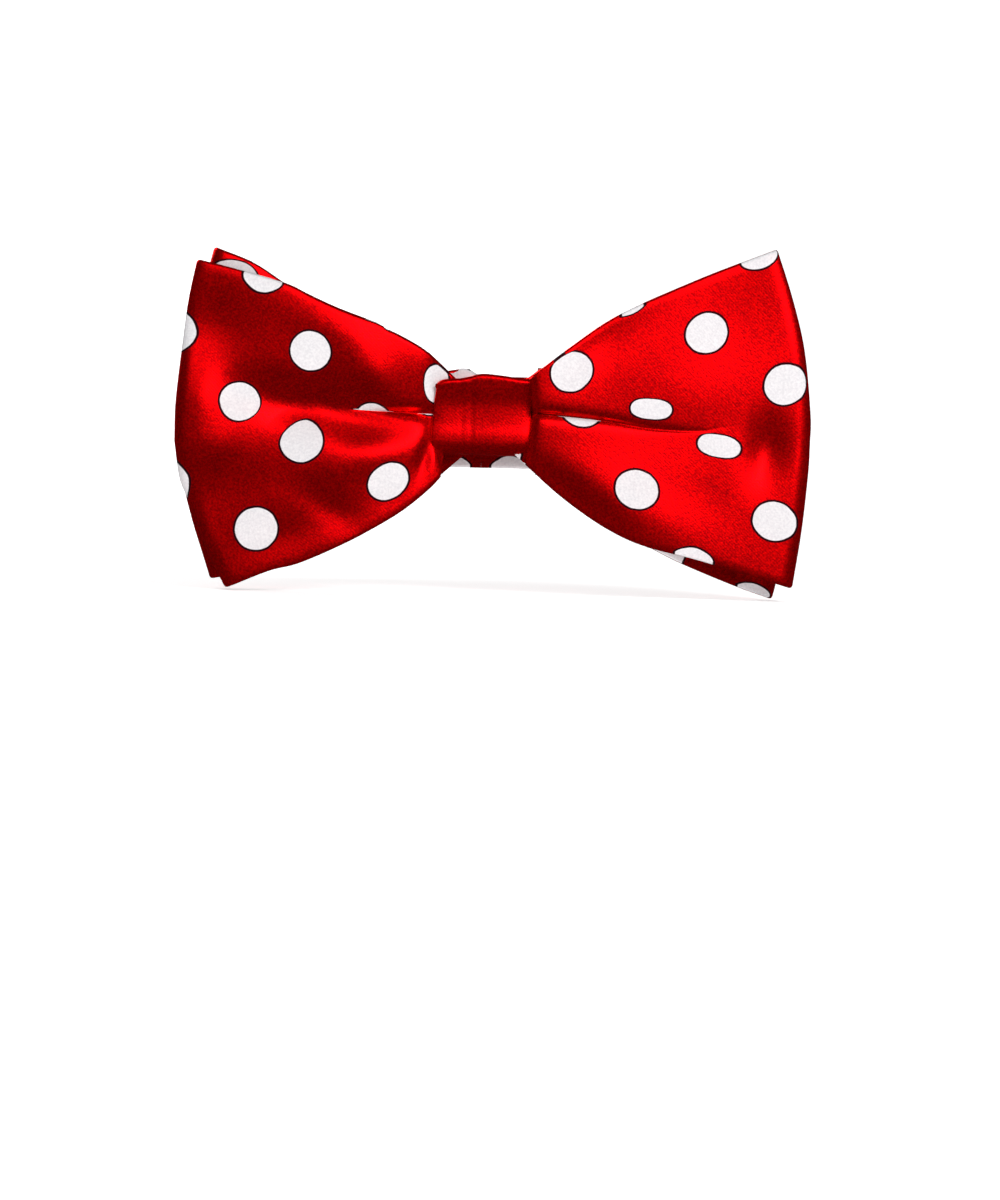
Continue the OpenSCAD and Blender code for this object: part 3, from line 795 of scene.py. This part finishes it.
def strip(name, path, travelled, thick, material, rows=rows_z, phase=0.0, bow=0.12):
    """A length of band standing on edge along a path of (x, y) places, printed by the length travelled.

    phase shifts the print of each column, in lattice steps.
    """
    path = np.array(path, float)
    step = np.concatenate([[0], np.cumsum(np.linalg.norm(np.diff(path, axis=0), axis=1))])
    length = travelled + step
    forward = unit(np.gradient(path, axis=0))
    side = np.stack([forward[:, 1], -forward[:, 0]], axis=1)
    grid = np.zeros((len(path), len(rows), 3))
    height = (rows - rows.mean()) / (np.ptp(rows) / 2)
    sway = bow * np.sin(length * 0.16)[:, None] * (1 - height[None] ** 2)
    sway = sway + 0.6 * bow * np.sin(length * 0.41 + 1.0)[:, None] * height[None]
    thick = np.broadcast_to(thick, len(path))
    grid[..., :2] = path[:, None] + side[:, None] * (thick[:, None, None] / 2 + sway[..., None])
    grid[..., 2] = rows[None]
    a = math.radians(print_turn)
    cloth = np.stack(np.broadcast_arrays(length[:, None], rows[None]), axis=-1) / dot_pitch
    uv = np.stack([cloth[..., 0] * math.cos(a) + cloth[..., 1] * math.sin(a),
                   -cloth[..., 0] * math.sin(a) + cloth[..., 1] * math.cos(a)], axis=-1) + phase
    normal_side = np.sum(grid_normals(grid, False)[..., :2] * side[:, None], axis=2).mean()
    return shell(name, grid, uv, thick, material, flip=bool(normal_side < 0)), length[-1]


def dot_phase(length, z):
    """The shift that puts a dot at this length along the band and this height."""
    a = math.radians(print_turn)
    u = (length * math.cos(a) + z * math.sin(a)) / dot_pitch
    v = (-length * math.sin(a) + z * math.cos(a)) / dot_pitch
    return -np.array([u, v])


def run_columns(node, reverse, step=1.5):
    """Where the columns of a straight run stand along the row."""
    low, high = row_box(node)
    x = np.linspace(low[0], high[0], int((high[0] - low[0]) / step))
    return x[::-1] if reverse else x


def run(node, reverse, travelled, phase=0.0, lining=None, body=None, x=None):
    """A straight run of the band in the place of its CAD node, with its interlining."""
    low, high = row_box(node)
    y = (low[1] + high[1]) / 2
    x = run_columns(node, reverse) if x is None else x
    path = np.stack([x, np.full_like(x, y)], axis=1)
    piece, end = strip(node + "_satin", path, travelled, band_t, CLOTH, phase=phase)
    dress(piece, node, body)
    if lining:
        inner, _ = strip(node + "_lining", path[1:-1], travelled + 1.0, lining_t, LINING, rows=rows_z[1:-1])
        dress(inner, lining, body)
    return end


def half_turn(node, travelled, count=18):
    """A fold of the band between two runs: an arc whose free side follows the CAD node's box."""
    low, high = row_box(node)
    radius = (high[1] - low[1]) / 2 - band_t / 2 - 0.05
    y = (high[1] + low[1]) / 2
    opens_left = node == "band_fold_b"
    x = low[0] if opens_left else high[0]
    angle = np.linspace(-math.pi / 2, math.pi / 2, count)
    side = 1 if opens_left else -1
    path = np.stack([x + side * radius * np.cos(angle), y + radius * np.sin(angle)], axis=1)
    piece, end = strip(node + "_satin", path, travelled, band_t, CLOTH, bow=0.03)
    dress(piece, node)
    return piece, end, np.array([x, y]) * MM


# The band's two ends meet behind the knot, so the print starts afresh there.
knot_middle_x = (knot_low[0] + knot_high[0]) / 2
seam = knot_middle_x + np.array([-0.003, 0.003])
base_x = np.sort(np.concatenate([run_columns("band_base", False), seam]))[::-1]
seam_dots_z = 21.9
left_dot = dot_phase(band_high[0] + 7.6, seam_dots_z)
right_dot = dot_phase(band_high[0] - 3.7, seam_dots_z)
base_phase = np.where(base_x[:, None, None] < knot_middle_x, left_dot, right_dot)
along = run("band_base", True, 0.0, lining="band_base_interlining", body="bow", phase=base_phase, x=base_x)

# Each fold, the bodies it joins, how far either side of its middle it blends in metres, and the run
# that follows it.
stow = (("band_fold_a", "bow", "second_run", 0.0013, "band_run_2", False),
        ("band_fold_b", "second_run", "third_run", 0.0009, "band_run_3", True),
        ("band_fold_c", "third_run", "fourth_run", 0.0009, "band_run_4", False))
for fold_node, before, after, reach, run_node, reverse in stow:
    fold, along, centre = half_turn(fold_node, along)
    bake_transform(fold)
    along = run(run_node, reverse, along, lining=run_node + "_interlining", body=after)


# ---- adjusting strap and clasp ----

strap_low, strap_high = row_box("adjusting_strap")
turn_low, turn_high = row_box("hook_turn")
tail_low, tail_high = row_box("tail_loop")
tab_low, tab_high = row_box("eye_tab")
turn_t = 0.62
turn_r = 0.88
tail_lead = 2.5
main_y = strap_low[1] + 0.6
return_y = strap_high[1] - 0.6


def bar_path(x, y, side, near, far):
    """Places from near round a bar at (x, y), on the side given by its sign, to far."""
    angle = np.linspace(-math.pi / 2, math.pi / 2, 15)
    arc = np.stack([x + side * turn_r * np.cos(angle), y + turn_r * np.sin(angle)], axis=1)
    return np.concatenate([[near], arc, [far]])


def straight(x0, x1, y, step=1.0):
    x = np.linspace(x0, x1, max(3, int(abs(x1 - x0) / step)))
    return np.stack([x, np.full_like(x, y)], axis=1)


def adjusting_strap():
    """Both lengths of the strap between the last fold, the hook and the slide adjuster."""
    path = straight(strap_low[0], strap_high[0], main_y)
    main, end = strip("adjusting_strap_main", path, along, band_t, CLOTH, bow=0.03)
    dress(main, "adjusting_strap", "fourth_run")
    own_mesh(main)
    hook_x = (turn_low[0] + turn_high[0]) / 2
    hook_y = (turn_low[1] + turn_high[1]) / 2
    path = bar_path(hook_x, hook_y, 1, (hook_x - 0.55, main_y), (hook_x - 0.55, return_y))
    turn, end = strip("hook_turn_satin", path, end, turn_t, CLOTH, bow=0.02)
    dress(turn, "hook_turn", "hook_end")
    start_x = tail_low[0] + tail_lead
    path = straight(strap_high[0], start_x, return_y)
    back, end = strip("adjusting_strap_return", path, end, band_t, CLOTH, bow=0.03)
    dress(back, "adjusting_strap")
    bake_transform(back)
    bar_x = tail_low[0] + (tail_high[1] - tail_low[1]) / 2
    bar_y = (tail_low[1] + tail_high[1]) / 2
    path = bar_path(bar_x, bar_y, -1, (start_x, return_y), (tail_high[0], tail_high[1] - turn_t / 2))
    flap = straight(bar_x + 0.8, tail_high[0], tail_high[1] - turn_t / 2)
    loop, _ = strip("tail_loop_satin", np.concatenate([path[:-1], flap]), end, turn_t, CLOTH, bow=0.02)
    dress(loop, "tail_loop", "adjuster")


def eye_tab():
    """The end of the neckband, taken round the eye's bar and sewn down behind itself."""
    bar_x = tab_high[0] - (tab_high[1] - tab_low[1]) / 2
    bar_y = (tab_high[1] + tab_low[1]) / 2
    behind_y = tab_high[1] - 0.6
    path = bar_path(bar_x, bar_y, 1, (band_high[0], tab_low[1] + 0.6), (bar_x - 0.7, behind_y - 0.05))
    layer = straight(bar_x - 1.4, tab_low[0], behind_y)
    path = np.concatenate([path, layer])
    thick = np.full(len(path), band_t)
    thick[:len(path) - len(layer)] = turn_t
    tab, _ = strip("eye_tab_satin", path, 0.0, thick, CLOTH, bow=0.02, phase=0.35)
    dress(tab, "eye_tab", "bow")


adjusting_strap()
eye_tab()

NICKEL = metal("bright_nickel", (0.80, 0.79, 0.77))
THREAD = thread("red_thread", (0.50, 0.004, 0.012))
for node in ("hook", "slide_adjuster", "eye"):
    refinish(node, NICKEL)
for node in ("waist_thread", "knot_tacks", "tail_stitches", "eye_tab_stitches"):
    refinish(node, THREAD)

# ---- what each soft piece was cut to ----


folds_of = {"band_run_2": "band_fold_a", "band_run_3": "band_fold_b", "band_run_4": "band_fold_c"}
for name in ("band_base", "band_run_2", "band_run_3", "band_run_4"):
    fold = folds_of.get(name)
